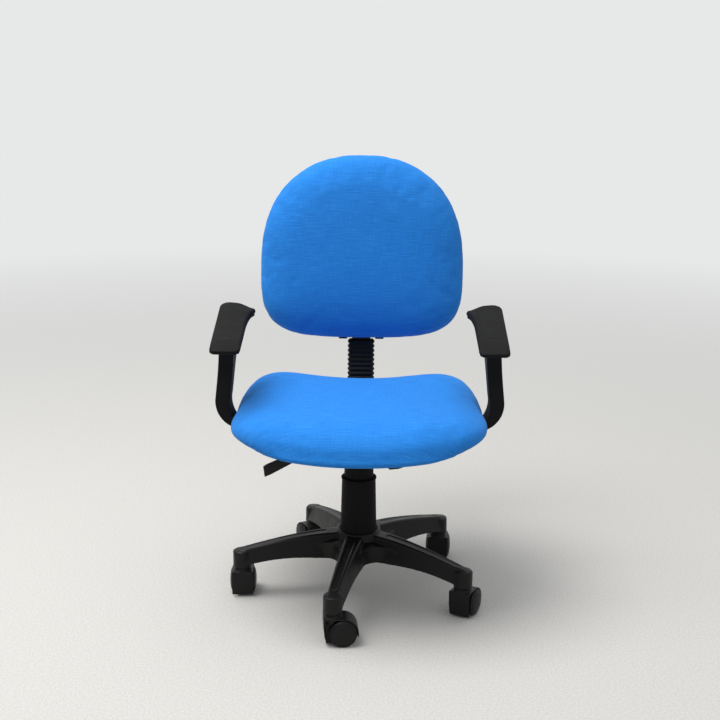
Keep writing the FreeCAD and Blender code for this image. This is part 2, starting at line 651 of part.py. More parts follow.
def arm_side_outline(inset, x):
    """Side view of the arm: a foot of even width that flares into the pad's underside."""
    i = inset
    front_top = Vector(x, -38 + i, pad_underside(-38) + 4)
    rear_top = Vector(x, 92 - i, pad_underside(92) + 4)
    edges = [
        Part.LineSegment(Vector(x, ARM_Y - 27 + i, 300), Vector(x, ARM_Y - 25 + i, 400)).toShape(),
        Part.Arc(Vector(x, ARM_Y - 25 + i, 400), Vector(x, 3 + i, 468), front_top).toShape(),
        Part.LineSegment(front_top, rear_top).toShape(),
        Part.Arc(rear_top, Vector(x, 72 - i, 470), Vector(x, ARM_Y + 25 - i, 400)).toShape(),
        Part.LineSegment(Vector(x, ARM_Y + 25 - i, 400), Vector(x, ARM_Y + 27 - i, 300)).toShape(),
        Part.LineSegment(Vector(x, ARM_Y + 27 - i, 300), Vector(x, ARM_Y - 27 + i, 300)).toShape(),
    ]
    return Part.Face(Part.Wire(edges))


def arm_frame(holes):
    front = arm_front_outline(0, 0, -150).extrude(Vector(0, 400, 0))
    side = arm_side_outline(0, 140).extrude(Vector(160, 0, 0))
    whole = front.common(side)
    # grooves down the front and rear faces leave two flanges
    band = arm_front_outline(11.0, 12.5, -150).extrude(Vector(0, 400, 0))
    band = band.common(box(140, 300, -150, 250, 345, 600))
    core = arm_side_outline(4.0, 140).extrude(Vector(160, 0, 0))
    return whole.cut(band.cut(core)).cut(holes)


def arm_pad():
    """Pad of the left arm: flared inwards at the rear, sloping down to the front."""
    half, length = 28.0, PAD_LENGTH / 2
    thick = 15.0
    outline = [(-half, -length, 10), (half, -length, 10), (half + 3, length, 16), (-half - 12, length - 17, 7),
               (-half - 1, 40, 300)]
    pad = Part.Face(rounded_outline(outline)).extrude(Vector(0, 0, thick))
    pad = softened(pad, 5.0, lambda e: e.BoundBox.ZMin > thick - 0.1)
    pad = softened(pad, 2.5, lambda e: e.BoundBox.ZMax < 0.1)
    pad = spun(pad, PAD_SLOPE, axis=(1, 0, 0))
    return moved(pad, PAD_MIDDLE[0], PAD_MIDDLE[1], PAD_MIDDLE[2] - 9.0)


def arms(holes):
    arm = fused([arm_frame(holes), arm_pad()])
    keep("armrest_left", arm)
    keep("armrest_right", arm.mirror(Vector(0, 0, 0), Vector(1, 0, 0)))


# ---------------------------------------------------------------- back
def lean(shape):
    """Moves a shape from the back's own frame (z up from its lower edge, y behind its board) into place."""
    return moved(spun(shape, -BACK_LEAN, axis=(1, 0, 0)), *BACK_FOOT)


def back_slab(inset, y0, y1):
    points = superellipse(BACK_HALF - inset, BACK_WIDEST - inset, BACK_HEIGHT - BACK_WIDEST - inset, 3.6, 2.3)
    wire = closed_curve([Vector(u, y0, v + BACK_WIDEST) for u, v in points])
    return Part.Face(wire).extrude(Vector(0, y1 - y0, 0))


def bar_line():
    """Middle line of the bar: along under the seat, a bend, then up along the leaning back."""
    slope = math.radians(BACK_LEAN)
    z_flat = BAR_LOW + BAR_THICK / 2
    y_up = BACK_FOOT[1] + BAR_MIDDLE * math.cos(slope)
    z_up = BACK_FOOT[2] - BAR_MIDDLE * math.sin(slope)
    y_bend = y_up - (z_up - z_flat) * math.tan(slope)
    top = 160.0
    return ((0, 26.0, z_flat), (0, y_bend, z_flat),
            (0, y_up + top * math.sin(slope), z_up + top * math.cos(slope)))


def back_bar(holes):
    path = rounded_path(bar_line(), 22.0)
    x, y, z = bar_line()[0]
    corners = [Vector(-BAR_HALF, y, z - BAR_THICK / 2), Vector(BAR_HALF, y, z - BAR_THICK / 2),
               Vector(BAR_HALF, y, z + BAR_THICK / 2), Vector(-BAR_HALF, y, z + BAR_THICK / 2)]
    section = Part.makePolygon(corners + corners[:1])
    keep("back_bar", swept(section, path).cut(holes))


def bellows_ring(half_x, half_y, corner, z):
    y0 = BAR_MIDDLE
    points = []
    for cx, cy, start in ((half_x, half_y, 0), (-half_x, half_y, 90), (-half_x, -half_y, 180), (half_x, -half_y, 270)):
        centre_x = cx - math.copysign(corner, cx)
        centre_y = cy - math.copysign(corner, cy)
        for step in (0, 1, 2):
            angle = math.radians(start + 45 * step)
            points.append(Vector(centre_x + corner * math.cos(angle), y0 + centre_y + corner * math.sin(angle), z))
    return Part.makePolygon(points + points[:1])


def bellows():
    """Folded sleeve round the bar, from the bend up to the back shell."""
    half_x, half_y, fold = 25.0, 11.5, 3.0
    rings = []
    for i in range(2 * BELLOWS_FOLDS + 1):
        grow = fold if i % 2 else 0.0
        z = -6.0 - BELLOWS_PITCH / 2 * i
        rings.append(bellows_ring(half_x + grow, half_y + grow, 6.0 + grow, z))
    outer = Part.makeLoft(rings, True, True)
    length = BELLOWS_PITCH * BELLOWS_FOLDS
    hollow = bellows_ring(half_x - 2.0, half_y - 2.0, 4.0, -2.5 - length)
    inner = Part.Face(hollow).extrude(Vector(0, 0, length))
    half_bar = BAR_THICK / 2
    grip = box(-BAR_HALF, BAR_HALF, BAR_MIDDLE - half_bar, BAR_MIDDLE + half_bar, -10 - length, 0)
    keep("bellows", lean(outer.cut([inner, grip])))


def back():
    board = back_slab(20, -10, 0)
    cushion = back_slab(0, -BACK_THICK, 0)
    cushion = softened(cushion, 20, lambda e: e.BoundBox.YMax < -BACK_THICK + 0.1)
    cushion = softened(cushion, 12, lambda e: e.BoundBox.YMin > -0.1)
    keep("back_cushion", lean(cushion.cut(board)))
    bolt_rows = [(x, z) for x in (-30.0, 30.0) for z in (70.0, 150.0)]
    holes = [cylinder_y(BOLT_HOLE_R, -9, 12, x, z) for x, z in bolt_rows]
    keep("back_board", lean(board.cut(holes)))
    # rear shell with a spine that covers the bracket and the bar
    shell = back_slab(11, 0, 20).cut(back_slab(14, -1, 17))
    shell = softened(shell, 6, lambda e: e.BoundBox.YMin > 19.9 and e.BoundBox.XLength > 100)
    spine = box(-46, 46, 2, 38, -4, 214)
    spine = softened(spine, 12, lambda e: e.BoundBox.YMin > 37.9 or (e.BoundBox.ZMin > 213.9 and e.BoundBox.YMax > 37))
    pocket = box(-43, 43, -1, 35, -1, 211)
    pocket = softened(pocket, 9, lambda e: e.BoundBox.YMin > 34.9)
    mouth = box(-29, 29, 1, 31, -8, 4)
    knob_z = 62.0
    knob_hole = cylinder_y(6.0, 20, 50, 0, knob_z)
    whole = shell.fuse(spine).cut([pocket, mouth, knob_hole])
    keep("back_shell", lean(whole))
    # bracket: steel channel on the board that the bar slides in
    gap = 0.35
    bracket = fused([
        box(-44 + 4, 44 - 4, 0, 3, 40, 180),
        box(-BAR_HALF - gap - 3, BAR_HALF + gap + 3, 3, BAR_MIDDLE + BAR_THICK / 2 + gap + 3, 44, 176)])
    slot = box(-BAR_HALF - gap, BAR_HALF + gap, BAR_MIDDLE - BAR_THICK / 2 - gap, BAR_MIDDLE + BAR_THICK / 2 + gap,
               30, 190)
    lighten = box(-BAR_HALF - gap, BAR_HALF + gap, 3, BAR_MIDDLE - BAR_THICK / 2 - gap - 2, 30, 190)
    thread = cylinder_y(4.0 + RUNNING, BAR_MIDDLE, 40, 0, knob_z)
    bracket = bracket.cut([slot, lighten, thread] + holes)
    keep("back_bracket", lean(bracket))
    stud_start = BAR_MIDDLE + BAR_THICK / 2 + 0.5
    stud = cylinder_y(4.0, stud_start, 44, 0, knob_z)
    grip = spun(turned([(0, 39), (15, 39), (21, 41), (22, 47), (20, 55), (15, 58), (0, 58)]), -90, axis=(1, 0, 0))
    flutes = []
    for i in range(10):
        flutes.append(spun(cylinder_y(2.6, 36, 60, 23.4, 0), 36.0 * i, axis=(0, 1, 0)))
    grip = moved(grip.cut(flutes), 0, 0, knob_z)
    keep("back_knob", lean(fused([stud, grip])))


def main():
    star_base()
    casters()
    column()
    covers()
    housing()
    torsion_spring()
    tension_knob()
    lever()
    holes = seat()
    arms(holes)
    back_bar(holes)
    bellows()
    back()
    os.makedirs("parts", exist_ok=True)
    for old in os.listdir("parts"):
        os.remove(os.path.join("parts", old))
    for name, shape in PARTS.items():
        shape.exportStep(f"parts/{name}.step")
        state = "ok" if shape.isValid() else "INVALID"
        print(f"{name:24s} {len(shape.Solids)} solids {shape.Volume / 1000:9.2f} cm3 {state}")


main()
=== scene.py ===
"""Swivel task chair: the looks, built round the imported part. Metres; +Z up, the sitter faces -Y."""
import json
import math

import bmesh
import bpy
from mathutils import Matrix, Vector, kdtree, noise

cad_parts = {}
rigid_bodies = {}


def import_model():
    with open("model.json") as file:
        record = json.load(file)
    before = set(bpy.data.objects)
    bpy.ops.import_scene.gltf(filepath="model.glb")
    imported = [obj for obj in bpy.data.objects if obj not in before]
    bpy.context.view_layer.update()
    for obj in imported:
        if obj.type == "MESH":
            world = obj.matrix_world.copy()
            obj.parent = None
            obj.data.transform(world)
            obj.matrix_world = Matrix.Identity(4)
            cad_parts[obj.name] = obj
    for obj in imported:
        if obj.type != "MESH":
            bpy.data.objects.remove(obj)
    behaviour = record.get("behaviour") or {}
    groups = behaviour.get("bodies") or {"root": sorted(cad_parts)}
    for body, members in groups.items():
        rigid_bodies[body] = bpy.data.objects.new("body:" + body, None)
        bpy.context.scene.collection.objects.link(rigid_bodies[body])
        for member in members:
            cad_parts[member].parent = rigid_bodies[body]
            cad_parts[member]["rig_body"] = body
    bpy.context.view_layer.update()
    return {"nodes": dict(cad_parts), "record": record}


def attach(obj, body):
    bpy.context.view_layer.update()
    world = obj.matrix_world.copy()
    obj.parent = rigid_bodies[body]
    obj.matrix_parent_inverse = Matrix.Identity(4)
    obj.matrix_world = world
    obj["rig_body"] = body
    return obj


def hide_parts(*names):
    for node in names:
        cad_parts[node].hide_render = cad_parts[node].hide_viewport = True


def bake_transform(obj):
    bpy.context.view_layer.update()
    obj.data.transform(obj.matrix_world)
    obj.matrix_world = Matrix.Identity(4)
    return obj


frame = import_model()
nodes = frame["nodes"]

MM = 0.001


# ---------------------------------------------------------------- materials
def material(name):
    made = bpy.data.materials.new(name)
    made.use_nodes = True
    tree = made.node_tree
    shader = tree.nodes["Principled BSDF"]
    return made, tree, shader


def grey(level):
    return (level,) * 3


def add(tree, kind, **settings):
    node = tree.nodes.new(kind)
    for key, value in settings.items():
        setattr(node, key, value)
    return node


def sums(tree, operation, a, b=None, c=None):
    node = add(tree, "ShaderNodeMath", operation=operation)
    for index, value in enumerate((a, b, c)):
        if value is None:
            continue
        if isinstance(value, (int, float)):
            node.inputs[index].default_value = value
        else:
            tree.links.new(value, node.inputs[index])
    return node.outputs[0]


def noise_of(tree, vector, scale, detail=2.0, roughness=0.5):
    node = add(tree, "ShaderNodeTexNoise")
    node.inputs["Scale"].default_value = scale
    node.inputs["Detail"].default_value = detail
    node.inputs["Roughness"].default_value = roughness
    tree.links.new(vector, node.inputs["Vector"])
    return node.outputs["Fac"]


def ramp(tree, value, stops):
    node = add(tree, "ShaderNodeValToRGB")
    ends = node.color_ramp.elements
    ends[0].position, ends[0].color = stops[0][0], (*stops[0][1], 1)
    ends[1].position, ends[1].color = stops[-1][0], (*stops[-1][1], 1)
    for position, colour in stops[1:-1]:
        ends.new(position).color = (*colour, 1)
    tree.links.new(value, node.inputs[0])
    return node.outputs[0]


def bumped(tree, shader, height, strength, distance, bevel=0.0):
    node = add(tree, "ShaderNodeBump")
    node.inputs["Strength"].default_value = strength
    node.inputs["Distance"].default_value = distance
    tree.links.new(height, node.inputs["Height"])
    if bevel:
        rounded = add(tree, "ShaderNodeBevel", samples=4)
        rounded.inputs["Radius"].default_value = bevel
        tree.links.new(rounded.outputs[0], node.inputs["Normal"])
    tree.links.new(node.outputs[0], shader.inputs["Normal"])


def wandering_gloss(tree, shader, place, scale, least, most):
    """A roughness that drifts over the surface between two levels."""
    drift = noise_of(tree, place, scale, 4.0)
    gloss = ramp(tree, drift, [(0.3, grey(least)), (0.7, grey(most))])
    tree.links.new(gloss, shader.inputs["Roughness"])


def plastic(name, level, rough, grain=0.25, bevel=0.0008, shine=0.20):
    """Moulded plastic: a fine spark-eroded grain, and a gloss that wanders a little."""
    made, tree, shader = material(name)
    place = add(tree, "ShaderNodeTexCoord").outputs["Object"]
    broad = noise_of(tree, place, 9.0, 3.0)
    bluish = (level * 1.12, level * 1.12, level * 1.16)
    tone = ramp(tree, broad, [(0.3, grey(level * 0.9)), (0.7, bluish)])
    tree.links.new(tone, shader.inputs["Base Color"])
    wandering_gloss(tree, shader, place, 40.0, rough - 0.05, rough + 0.06)
    shader.inputs["Specular IOR Level"].default_value = shine
    bumped(tree, shader, noise_of(tree, place, 1900.0, 1.0), grain, 0.0001, bevel)
    return made


def metal(name, colour, rough, metallic=1.0, bevel=0.0004):
    """Plated or painted steel with faint handling marks."""
    made, tree, shader = material(name)
    place = add(tree, "ShaderNodeTexCoord").outputs["Object"]
    shader.inputs["Base Color"].default_value = (*colour, 1)
    shader.inputs["Metallic"].default_value = metallic
    wandering_gloss(tree, shader, place, 130.0, rough - 0.06, rough + 0.08)
    bumped(tree, shader, noise_of(tree, place, 700.0, 2.0), 0.15, 0.0001, bevel)
    return made


def fabric(name, dark, mid, light, pitch=0.00125):
    """Plain-woven upholstery cloth with slubs in its weft; its UVs are in metres."""
    made, tree, shader = material(name)
    uv = add(tree, "ShaderNodeTexCoord").outputs["UV"]
    split = add(tree, "ShaderNodeSeparateXYZ")
    tree.links.new(uv, split.inputs[0])
    wander = add(tree, "ShaderNodeTexNoise")
    wander.inputs["Scale"].default_value = 55.0
    tree.links.new(uv, wander.inputs["Vector"])
    # the threads run a little crooked
    sway = sums(tree, "MULTIPLY", sums(tree, "SUBTRACT", wander.outputs["Fac"], 0.5), 0.0016)
    u = sums(tree, "ADD", split.outputs[0], sway)
    v = sums(tree, "ADD", split.outputs[1], sway)
    turns = 2 * math.pi / pitch
    across = sums(tree, "SINE", sums(tree, "MULTIPLY", u, turns / 2))
    down = sums(tree, "SINE", sums(tree, "MULTIPLY", v, turns / 2))
    lift = sums(tree, "ABSOLUTE", sums(tree, "MULTIPLY", across, down))
    # slubs: long thin streaks along the weft, and fainter ones along the warp
    stretch = add(tree, "ShaderNodeMapping")
    stretch.inputs["Scale"].default_value = (26.0, 620.0, 1.0)
    tree.links.new(uv, stretch.inputs["Vector"])
    slub = noise_of(tree, stretch.outputs[0], 1.0, 3.0, 0.6)
    upright = add(tree, "ShaderNodeMapping")
    upright.inputs["Scale"].default_value = (560.0, 34.0, 1.0)
    tree.links.new(uv, upright.inputs["Vector"])
    warp = noise_of(tree, upright.outputs[0], 1.0, 2.0, 0.5)
    mixed = sums(tree, "ADD", sums(tree, "MULTIPLY", slub, 0.62), sums(tree, "MULTIPLY", warp, 0.24))
    mixed = sums(tree, "ADD", mixed, sums(tree, "MULTIPLY", lift, 0.20))
    tone = ramp(tree, mixed, [(0.29, dark), (0.54, mid), (0.86, light)])
    tree.links.new(tone, shader.inputs["Base Color"])
    shader.inputs["Roughness"].default_value = 0.88
    shader.inputs["Specular IOR Level"].default_value = 0.25
    shader.inputs["Sheen Weight"].default_value = 0.10
    shader.inputs["Sheen Roughness"].default_value = 0.45
    shader.inputs["Sheen Tint"].default_value = (0.25, 0.60, 1.0, 1)
    height = sums(tree, "ADD", sums(tree, "MULTIPLY", lift, 0.55), sums(tree, "MULTIPLY", slub, 0.9))
    bumped(tree, shader, height, 0.55, 0.0004)
    return made


def timber(name):
    """Raw plywood with its plies showing on the edge."""
    made, tree, shader = material(name)
    place = add(tree, "ShaderNodeTexCoord").outputs["Object"]
    stretch = add(tree, "ShaderNodeMapping")
    stretch.inputs["Scale"].default_value = (6.0, 60.0, 500.0)
    tree.links.new(place, stretch.inputs["Vector"])
    grain = noise_of(tree, stretch.outputs[0], 1.0, 4.0)
    tone = ramp(tree, grain, [(0.3, (0.33, 0.20, 0.10)), (0.7, (0.62, 0.44, 0.26))])
    tree.links.new(tone, shader.inputs["Base Color"])
    shader.inputs["Roughness"].default_value = 0.7
    bumped(tree, shader, grain, 0.3, 0.0003)
    return made


NYLON = plastic("black_nylon", 0.0062, 0.40, 0.30)
PLASTIC = plastic("black_plastic", 0.0100, 0.60, 0.30, shine=0.05)
SATIN = plastic("satin_plastic", 0.0066, 0.36, 0.20)
ACETAL = plastic("bush_plastic", 0.62, 0.35, 0.05, shine=0.5)
RUBBER = plastic("rubber", 0.0058, 0.60, 0.35)
BLACK_STEEL = metal("black_steel", (0.008, 0.008, 0.0085), 0.36, 0.0)
STEEL = metal("bright_steel", (0.58, 0.58, 0.60), 0.27)
DARK_BLUE, MID_BLUE, LIGHT_BLUE = (0.006, 0.116, 0.44), (0.011, 0.180, 0.58), (0.034, 0.285, 0.77)
CLOTH = fabric("blue_fabric", DARK_BLUE, MID_BLUE, LIGHT_BLUE)
PLY = timber("plywood")
BY_SLOT = {
    "black_nylon": NYLON,
    "black_plastic": PLASTIC,
    "satin_plastic": SATIN,
    "bush_plastic": ACETAL,
    "rubber": RUBBER,
    "black_steel": BLACK_STEEL,
    "bright_steel": STEEL,
    "blue_fabric": CLOTH,
    "plywood": PLY,
}


def dress(obj, made):
    obj.data.materials.clear()
    obj.data.materials.append(made)


def smooth(mesh):
    mesh.polygons.foreach_set("use_smooth", [True] * len(mesh.polygons))


SLOT_OF = {entry["node"]: entry["material_slot"] for entry in frame["record"]["subparts"]}
REDRAWN = ("seat_cushion", "back_cushion", "bellows")  # drawn again further down
SHARP_ANGLE = math.radians(28)
for node_name, node in nodes.items():
    dress(node, BY_SLOT[SLOT_OF[node_name]])
    if node_name.startswith(REDRAWN):
        continue
    smooth(node.data)
    node.data.set_sharp_from_angle(angle=SHARP_ANGLE)


# ---------------------------------------------------------------- mesh helpers
def linked(name, mesh):
    obj = bpy.data.objects.new(name, mesh)
    bpy.context.scene.collection.objects.link(obj)
    return obj


def from_rings(name, rings, uvs=None, cap_start=False):
    """A skin over rings of points, each ring closed on itself, with its last ring capped.

    UVs, if given, match the rings. Points that fall together are joined, and the faces all look outward."""
    mesh = bpy.data.meshes.new(name)
    count = len(rings[0])
    points = [p for ring in rings for p in ring]
    faces = []
    for i in range(len(rings) - 1):
        for j in range(count):
            k = (j + 1) % count
            faces.append((i * count + j, i * count + k, (i + 1) * count + k, (i + 1) * count + j))
    if cap_start:
        faces.append(tuple(reversed(range(count))))
    faces.append(tuple((len(rings) - 1) * count + j for j in range(count)))
    mesh.from_pydata([tuple(p) for p in points], [], faces)
    if uvs:
        flat = [w for ring in uvs for w in ring]
        layer = mesh.uv_layers.new(name="UVMap")
        for loop in mesh.loops:
            layer.data[loop.index].uv = flat[loop.vertex_index]
    mesh.validate()
    shell = bmesh.new()
    shell.from_mesh(mesh)
    bmesh.ops.remove_doubles(shell, verts=shell.verts, dist=0.01 * MM)
    bmesh.ops.recalc_face_normals(shell, faces=shell.faces)
    shell.to_mesh(mesh)
    shell.free()
    smooth(mesh)
    mesh.update()
    return linked(name, mesh)


def moulded(node_name, voxel, rounds, share=0.35, shape=None):
    """A CAD piece with its edges eased, as a mould's are, and an optional nudge to each point.

    voxel is the remesh's step in metres, rounds its smoothing and share the part of its faces kept."""
    source = nodes[node_name]
    obj = linked(node_name + "_moulded", source.data.copy())
    remesh = obj.modifiers.new("remesh", "REMESH")
    remesh.mode = "VOXEL"
    remesh.voxel_size = voxel
    ease = obj.modifiers.new("ease", "SMOOTH")
    ease.factor = 0.5
    ease.iterations = rounds
    thin = obj.modifiers.new("thin", "DECIMATE")
    thin.ratio = share
    graph = bpy.context.evaluated_depsgraph_get()
    mesh = bpy.data.meshes.new_from_object(obj.evaluated_get(graph))
    obj.modifiers.clear()
    old = obj.data
    obj.data = mesh
    bpy.data.meshes.remove(old)
    dress(obj, source.data.materials[0])
    if shape:
        for vertex in mesh.vertices:
            vertex.co = shape(vertex.co)
    smooth(mesh)
    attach(obj, source["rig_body"])
    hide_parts(node_name)
    return obj


def smoothly(low, high, x):
    """0 at low, 1 at high and eased between; low may be the larger of the two."""
    t = min(1.0, max(0.0, (x - low) / (high - low)))
    return t * t * (3 - 2 * t)


def along(table, x):
    """Smooth (Catmull-Rom) reading of a table of (x, value) rows."""
    if x <= table[0][0]:
        return table[0][1]
    if x >= table[-1][0]:
        return table[-1][1]
    for i in range(len(table) - 1):
        if x <= table[i + 1][0]:
            break
    x0, y0 = table[i]
    x1, y1 = table[i + 1]
    before = table[max(i - 1, 0)]
    after = table[min(i + 2, len(table) - 1)]
    t = (x - x0) / (x1 - x0)
    m0 = (y1 - before[1]) / (x1 - before[0]) * (x1 - x0) if x1 != before[0] else 0
    m1 = (after[1] - y0) / (after[0] - x0) * (x1 - x0) if after[0] != x0 else 0
    t2, t3 = t * t, t * t * t
    return (2 * t3 - 3 * t2 + 1) * y0 + (t3 - 2 * t2 + t) * m0 + (3 * t2 - 2 * t3) * y1 + (t3 - t2) * m1


def superellipse(angle, half, low, high, power_low, power_high):
    """A point of an outline whose lower and upper halves have their own reach and squareness."""
    c, s = math.cos(angle), math.sin(angle)
    reach, power = (high, power_high) if s >= 0 else (low, power_low)
    # a steady share of the two powers near the widest line keeps the outline smooth
    share = abs(s) ** 0.6
    power = power * share + 0.5 * (power_low + power_high) * (1 - share)
    return (half * math.copysign(abs(c) ** (2 / power), c), reach * math.copysign(abs(s) ** (2 / power), s))


def even_outline(shape, count=240, samples=2400):
    """Points at even steps round an outline."""
    fine = [Vector(shape(2 * math.pi * i / samples)) for i in range(samples)]
    steps = [0.0]
    for i in range(samples):
        steps.append(steps[-1] + (fine[(i + 1) % samples] - fine[i]).length)
    out = []
    i = 0
    for k in range(count):
        want = steps[-1] * k / count
        while steps[i + 1] < want:
            i += 1
        t = (want - steps[i]) / max(steps[i + 1] - steps[i], 1e-9)
        out.append(fine[i].lerp(fine[(i + 1) % samples], t))
    return out


KNEE = 0.35  # of the full inset: outside it the outline is inset evenly, inside it shrinks to the middle


def cushion(name, outline, section, place, rows=90):
    """A stuffed cushion: section gives (inset, height) rows, in mm, from the middle of the face round to
    its underside. The outline runs round the plan's origin.

    place(u, v, height, inset) turns plan coordinates and a height into a point."""
    lengths = [0.0]
    for a, b in zip(section, section[1:]):
        lengths.append(lengths[-1] + math.hypot(b[0] - a[0], b[1] - a[1]))
    inset_rows = [(s, row[0]) for s, row in zip(lengths, section)]
    height_rows = [(s, row[1]) for s, row in zip(lengths, section)]
    rings, uvs = [], []
    full = section[0][0]
    knee = KNEE * full
    for i in range(rows + 1):
        s = lengths[-1] * i / rows
        inset = min(along(inset_rows, s), full)
        height = along(height_rows, s)
        ring, ring_uv = [], []
        for spoke in outline:
            reach = spoke.length
            share = 1 - inset / full
            if inset < knee:
                kept = reach - inset
            else:
                kept = (reach - knee) * share / (1 - KNEE)
            ring.append(place(spoke.x / reach * kept, spoke.y / reach * kept, height, inset))
            # the weave goes on over the edge at the length of cloth used so far
            run = kept + max(0.0, s - (full - inset)) if inset < full else 0.0
            ring_uv.append((spoke.x / reach * run * MM, spoke.y / reach * run * MM))
        rings.append(ring)
        uvs.append(ring_uv)
    return from_rings(name, rings, uvs)


def rumple(point, size, depth):
    """A slow, shallow unevenness, the same each time."""
    return depth * noise.noise(Vector(point) / size)


FIRM = 0.35            # share of the cloth's moves that the cover takes on
MOST_MOVE = 0.0028     # the longest of them, in metres
CLOTH_VOXEL = 0.006
CLOTH_PRESSURE = 3.0
CLOTH_FRAMES = 16


def stuffed(obj, held):
    """Settles a cushion's cover over its filling: each point moves by a share of what its cloth moved.

    held(point) tells which part is stapled down."""
    twin = linked(obj.name + "_cloth", obj.data.copy())
    remesh = twin.modifiers.new("remesh", "REMESH")
    remesh.mode = "VOXEL"
    remesh.voxel_size = CLOTH_VOXEL
    graph = bpy.context.evaluated_depsgraph_get()
    twin.data = bpy.data.meshes.new_from_object(twin.evaluated_get(graph))
    twin.modifiers.clear()
    before = [v.co.copy() for v in twin.data.vertices]
    pins = twin.vertex_groups.new(name="pins")
    pins.add([i for i, co in enumerate(before) if held(co)], 1.0, "REPLACE")
    cloth = twin.modifiers.new("cloth", "CLOTH")
    cloth.settings.quality = 6
    cloth.settings.mass = 0.25
    cloth.settings.tension_stiffness = 12
    cloth.settings.compression_stiffness = 12
    cloth.settings.shear_stiffness = 6
    cloth.settings.bending_stiffness = 0.8
    cloth.settings.use_pressure = True
    cloth.settings.uniform_pressure_force = CLOTH_PRESSURE
    cloth.settings.vertex_group_mass = "pins"
    cloth.settings.effector_weights.gravity = 0
    cloth.point_cache.frame_start = 1
    cloth.point_cache.frame_end = CLOTH_FRAMES
    for number in range(1, CLOTH_FRAMES + 1):
        bpy.context.scene.frame_set(number)
    graph = bpy.context.evaluated_depsgraph_get()
    after = [v.co.copy() for v in twin.evaluated_get(graph).data.vertices]
    bpy.context.scene.frame_set(1)
    moved = [b - a for a, b in zip(before, after)]
    tree = kdtree.KDTree(len(before))
    for i, co in enumerate(before):
        tree.insert(co, i)
    tree.balance()
    steps = []
    for vertex in obj.data.vertices:
        total, weight = Vector((0, 0, 0)), 0.0
        for co, i, far in tree.find_n(vertex.co, 6):
            near = 1.0 / (far + 0.001) ** 2
            total += moved[i] * near
            weight += near
        step = total / weight * FIRM
        if step.length > MOST_MOVE:
            step *= MOST_MOVE / step.length
        steps.append(step)
    # the cover was drawn full size, so what the filling swells it by on average comes off again
    free = [v for v in obj.data.vertices if not held(v.co)]
    swell = sum(steps[v.index].dot(v.normal) for v in free) / len(free)
    outward = [v.normal.copy() for v in free]
    for vertex, normal in zip(free, outward):
        step = steps[vertex.index]
        vertex.co += step - normal * swell * min(1.0, step.length / abs(swell))
    old = twin.data
    bpy.data.objects.remove(twin)
    bpy.data.meshes.remove(old)
    obj.data.update()


# ---------------------------------------------------------------- seat cushion
# plan sizes and heights are in mm
SEAT_HALF, SEAT_FRONT, SEAT_BACK, SEAT_MIDDLE_Y = 240.0, 220.0, 210.0, -5.0
SEAT_FRONT_POWER, SEAT_BACK_POWER = 2.4, 4.9
SEAT_SECTION = [
    (205, 397.0), (170, 396.8), (130, 396.0), (95, 394.2), (65, 391.2), (42, 386.6),
    (26, 380.4), (14.5, 372.6), (7, 364.4), (2.4, 356.4), (0.2, 348.8), (1.0, 341.8),
    (5.0, 336.6), (11, 334.2), (17, 333.8), (24, 335.2), (30, 337),
]
SEAT_STAPLES = 338      # the cloth is gathered below this height
SEAT_HELD = 0.3385      # and held still below this one, in metres
GATHERS = 74


def seat_shape(angle):
    return superellipse(angle, SEAT_HALF, SEAT_FRONT, SEAT_BACK, SEAT_FRONT_POWER, SEAT_BACK_POWER)


def seat_point(u, v, height, inset):
    x, y = u, v + SEAT_MIDDLE_Y
    top = smoothly(345, 385, height)
    # the rear rises, most of all in a lobe on either side
    rear = smoothly(-70, 190, y)
    lobes = math.exp(-((abs(x) - 188) / 86) ** 2)
    z = height + top * (rear * (10.5 * lobes + 2.5) + 1.5 * lobes)
    # the front edge is full, with a steep face
    z += 6.5 * smoothly(344, 364, height) * smoothly(70, 24, inset) * smoothly(-70, -180, y)
    # the sitter has left a slight hollow
    z -= top * 4.0 * math.exp(-(x / 120) ** 2 - ((y - 30) / 130) ** 2)
    # the sides tuck up underneath; the middle of the front edge hangs a little
    z += (1 - top) * 9.0 * smoothly(120, 228, abs(x)) * smoothly(60, -60, y)
    z -= 6.0 * smoothly(-150, -215, y) * math.exp(-(x / 150) ** 2)
    # gathers where the cloth is pulled under and stapled
    if height < SEAT_STAPLES:
        uneven = 2.0 * noise.noise((x / 40, y / 40, 0))
        z += 0.5 * smoothly(7, 13, inset) * math.sin(math.atan2(y, x) * GATHERS + uneven)
    z += top * rumple((x, y, 3.1), 85.0, 0.9)
    side = rumple((x, y, height), 60.0, 0.7) * smoothly(0, 10, 60 - inset)
    reach = math.hypot(x, y) or 1.0
    return Vector((x + x / reach * side, y + y / reach * side, z)) * MM


seat = cushion("seat_cushion_cover", even_outline(seat_shape), SEAT_SECTION, seat_point)
stuffed(seat, lambda co: co.z < SEAT_HELD)
dress(seat, CLOTH)
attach(seat, "seat")
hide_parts("seat_cushion")

# ---------------------------------------------------------------- back cushion
BACK_LEAN = math.radians(6.0)
BACK_FOOT = Vector((0.0, 228.0, 457.0))
BACK_HALF, BACK_WIDEST, BACK_HEIGHT = 206.0, 125.0, 372.0
BACK_LOW_POWER, BACK_TOP_POWER = 3.6, 2.3
BACK_PLAN_Z = 170.0     # height of the plan's origin over the back's lower edge
BACK_SECTION = [
    (165, 58.5), (130, 58.0), (95, 56.4), (65, 53.2), (42, 48.6), (26, 43.0), (14, 36.0), (6.5, 28.6),
    (2.2, 21.6), (0.2, 14.8), (1.2, 8.6), (5.0, 3.6), (10.5, 1.0), (17, 0.6), (24, 1.4),
]
BACK_HELD = -6          # the cloth is held still behind this depth


def lean(x, y, z):
    """From the back's own frame, in mm, to the chair's, in metres: z runs up from the back's lower edge."""
    c, s = math.cos(BACK_LEAN), math.sin(BACK_LEAN)
    return Vector((x, BACK_FOOT.y + y * c + z * s, BACK_FOOT.z - y * s + z * c)) * MM


